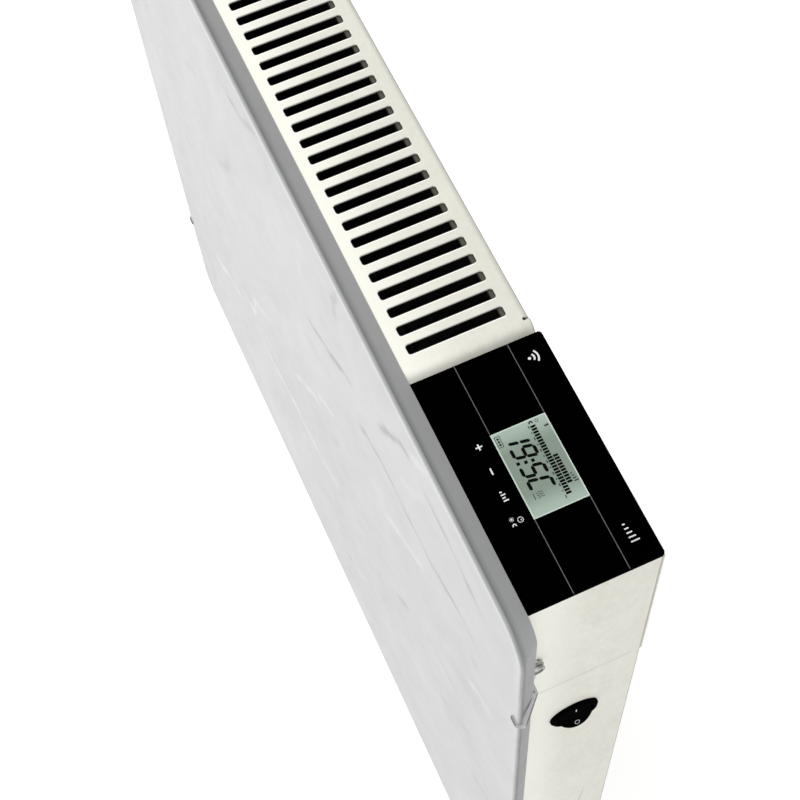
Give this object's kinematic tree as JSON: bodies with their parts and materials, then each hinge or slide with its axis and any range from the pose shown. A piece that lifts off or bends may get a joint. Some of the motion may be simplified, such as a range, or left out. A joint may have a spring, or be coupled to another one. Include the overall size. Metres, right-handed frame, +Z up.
{
  "type": "wall panel convector heater",
  "caption": "Wall-hung panel heater with a cast-stone front, slotted top grille, touch control panel with a display, and an end-mounted rocker switch.",
  "frame": {"origin": "centre of the wall rail's flat back face, on the wall", "axes": "+X along the wall to the control end, +Y into the wall (the stone front faces -Y), +Z up"},
  "size_m": [0.5024, 0.083, 0.5],
  "materials": {
    "aluminium": "mill finish",
    "black_glass": "polished, black backed",
    "black_plastic": "moulded",
    "brass": "bright",
    "cast_stone": "honed, faintly veined cast stone",
    "ceramic": "unglazed steatite",
    "chrome": "nickel-plated, knurled",
    "circuit_board": "solder mask",
    "clip_grey": "grey lacquered steel",
    "cream_paint": "satin cream powder coat",
    "grey_rubber": "soft",
    "lcd_glass": "grey-green reflective display",
    "mineral_board": "pressed mineral fibre",
    "relay_plastic": "moulded",
    "transformer_core": "varnished laminations",
    "white_plastic": "moulded",
    "wire_sheath": "silicone sheath",
    "zinc_steel": "zinc-plated sheet"
  },
  "bodies": {
    "heater": {"front_slab": "cast_stone", "slab_heating_wire": "wire_sheath", "slab_insulation_board": "mineral_board", "front_carrier_plate": "zinc_steel", "top_grille": "cream_paint", "bottom_grille": "cream_paint", "left_end_plate": "cream_paint", "right_end_plate": "cream_paint", "rear_panel": "cream_paint", "corner_posts": "zinc_steel", "top_support_angle": "cream_paint", "rear_panel_screws": "zinc_steel", "control_shell": "cream_paint", "control_back_cover": "cream_paint", "control_cover_screws": "zinc_steel", "control_glass": "black_glass", "lcd_display": "lcd_glass", "touch_board": "circuit_board", "touch_pads": "grey_rubber", "power_board": "circuit_board", "board_standoffs": "white_plastic", "transformer": "transformer_core", "power_relay": "relay_plastic", "capacitors": "black_plastic", "radio_module": "zinc_steel", "board_connector": "white_plastic", "switch_body": "black_plastic", "switch_terminals": "brass", "convector_element": "aluminium", "element_bracket_left": "zinc_steel", "element_bracket_right": "zinc_steel", "ceramic_bushes": "ceramic", "element_studs": "brass", "thermal_cutout": "black_plastic", "cutout_bracket": "zinc_steel", "cable_gland": "black_plastic", "gland_nut": "black_plastic", "terminal_block": "white_plastic", "room_sensor": "white_plastic", "earth_stud": "brass", "harness_wires": "wire_sheath", "slab_clips": "clip_grey", "clip_screws": "chrome", "wall_rail": "zinc_steel", "hanging_hooks": "zinc_steel", "hook_rivets": "aluminium", "lower_spacers": "cream_paint", "spacer_feet": "grey_rubber"},
    "rocker": {"switch_rocker": "black_plastic"}
  },
  "joints": [
    {"name": "rocker_tilt", "type": "hinge", "parent": "heater", "child": "rocker", "pos_m": [0.2344, -0.0457, -0.0345], "axis": [0, 1, 0], "range_deg": [0, 24]}
  ]
}
